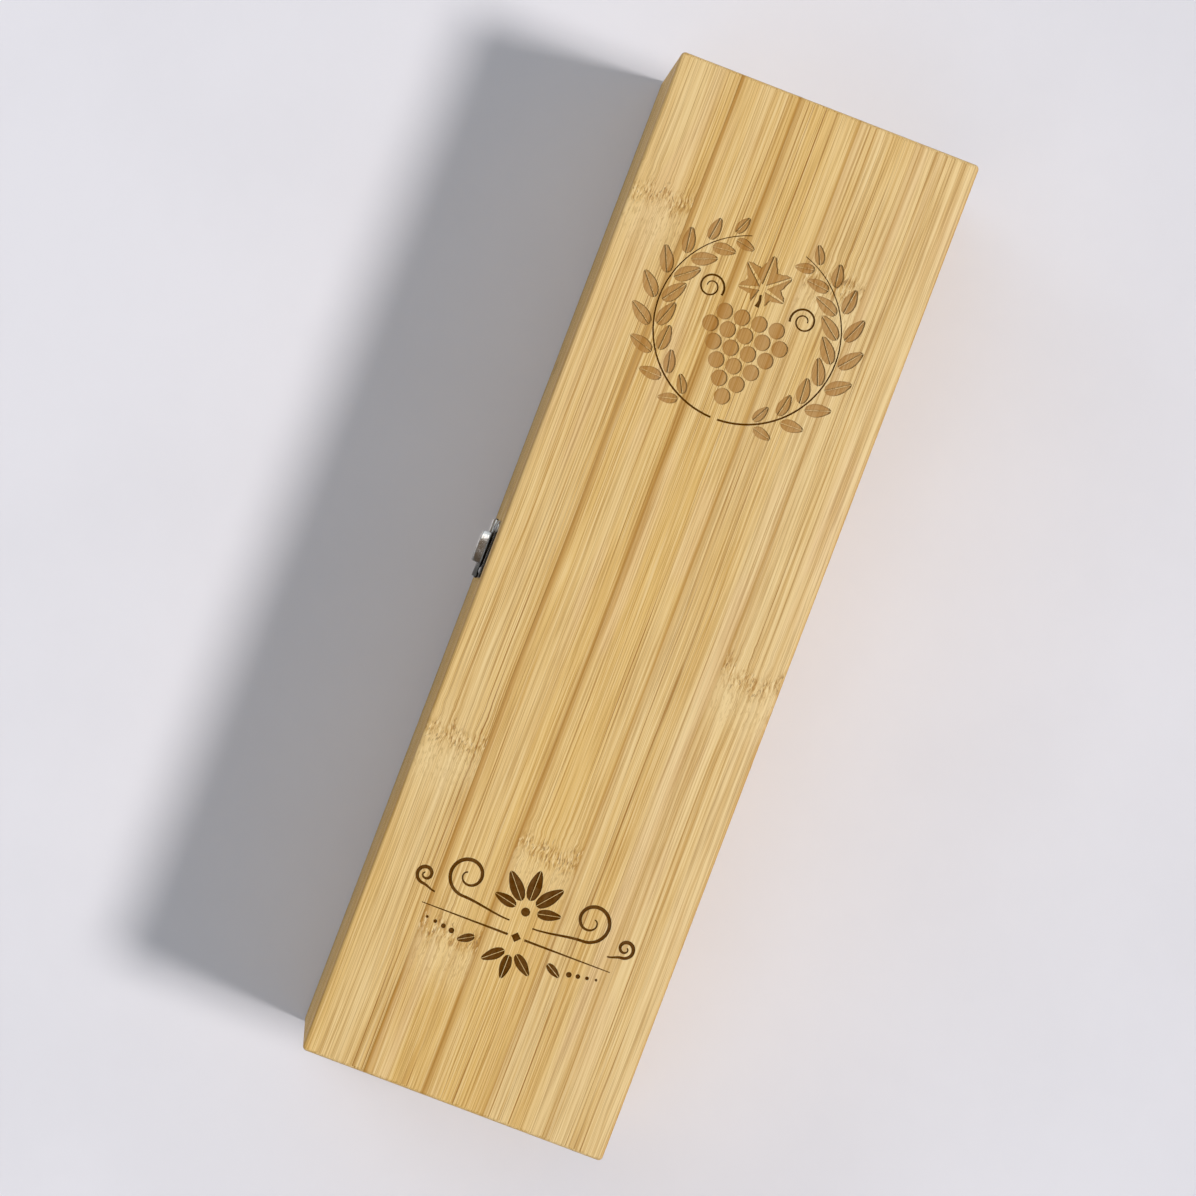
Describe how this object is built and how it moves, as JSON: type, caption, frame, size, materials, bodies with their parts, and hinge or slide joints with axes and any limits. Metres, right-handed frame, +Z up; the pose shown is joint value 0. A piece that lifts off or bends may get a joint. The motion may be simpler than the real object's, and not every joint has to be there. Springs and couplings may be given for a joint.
{
  "type": "hinged wooden bottle box",
  "caption": "Long bamboo box for one wine bottle lying down, with a hinged lid, a sprung metal latch on the front and rests for neck and body inside.",
  "frame": {"origin": "on the table under the middle of the box's wooden body", "axes": "+Z up, +X along the box from the neck end to the foot end, -Y out of the front, where the latch is"},
  "size_m": [0.35, 0.1098, 0.098],
  "materials": {
    "lid_bamboo": "pressed bamboo strips, sanded and thinly lacquered, satin",
    "wall_bamboo": "pressed bamboo strips, sanded and thinly lacquered, satin",
    "inner_bamboo": "pressed bamboo, sanded and left unlacquered",
    "nickel_plate": "bright nickel plating on pressed sheet",
    "steel_pin": "plain bright steel"
  },
  "bodies": {
    "base": {"floor_panel": "inner_bamboo", "front_wall": "wall_bamboo", "back_wall": "wall_bamboo", "neck_end_wall": "wall_bamboo", "foot_end_wall": "wall_bamboo", "neck_rest": "inner_bamboo", "body_rest": "inner_bamboo", "neck_hinge_base_leaf": "nickel_plate", "neck_hinge_pin": "steel_pin", "foot_hinge_base_leaf": "nickel_plate", "foot_hinge_pin": "steel_pin", "hinge_base_screws": "steel_pin", "latch_catch": "nickel_plate", "latch_catch_nails": "steel_pin"},
    "lid": {"lid_panel": "lid_bamboo", "lid_front_rail": "wall_bamboo", "lid_back_rail": "wall_bamboo", "lid_neck_rail": "wall_bamboo", "lid_foot_rail": "wall_bamboo", "neck_hinge_lid_leaf": "nickel_plate", "foot_hinge_lid_leaf": "nickel_plate", "hinge_lid_screws": "steel_pin", "latch_plate": "nickel_plate", "latch_plate_nails": "steel_pin", "latch_pin": "steel_pin"},
    "tongue": {"latch_tongue": "nickel_plate"}
  },
  "joints": [
    {"name": "lid_hinge", "type": "hinge", "parent": "base", "child": "lid", "pos_m": [0, 0.0505, 0.068], "axis": [-1, 0, 0], "range_deg": [0, 100]},
    {"name": "latch_tongue_hinge", "type": "hinge", "parent": "lid", "child": "tongue", "pos_m": [0, -0.05385, 0.0692], "axis": [-1, 0, 0], "range_deg": [0, 105]}
  ]
}
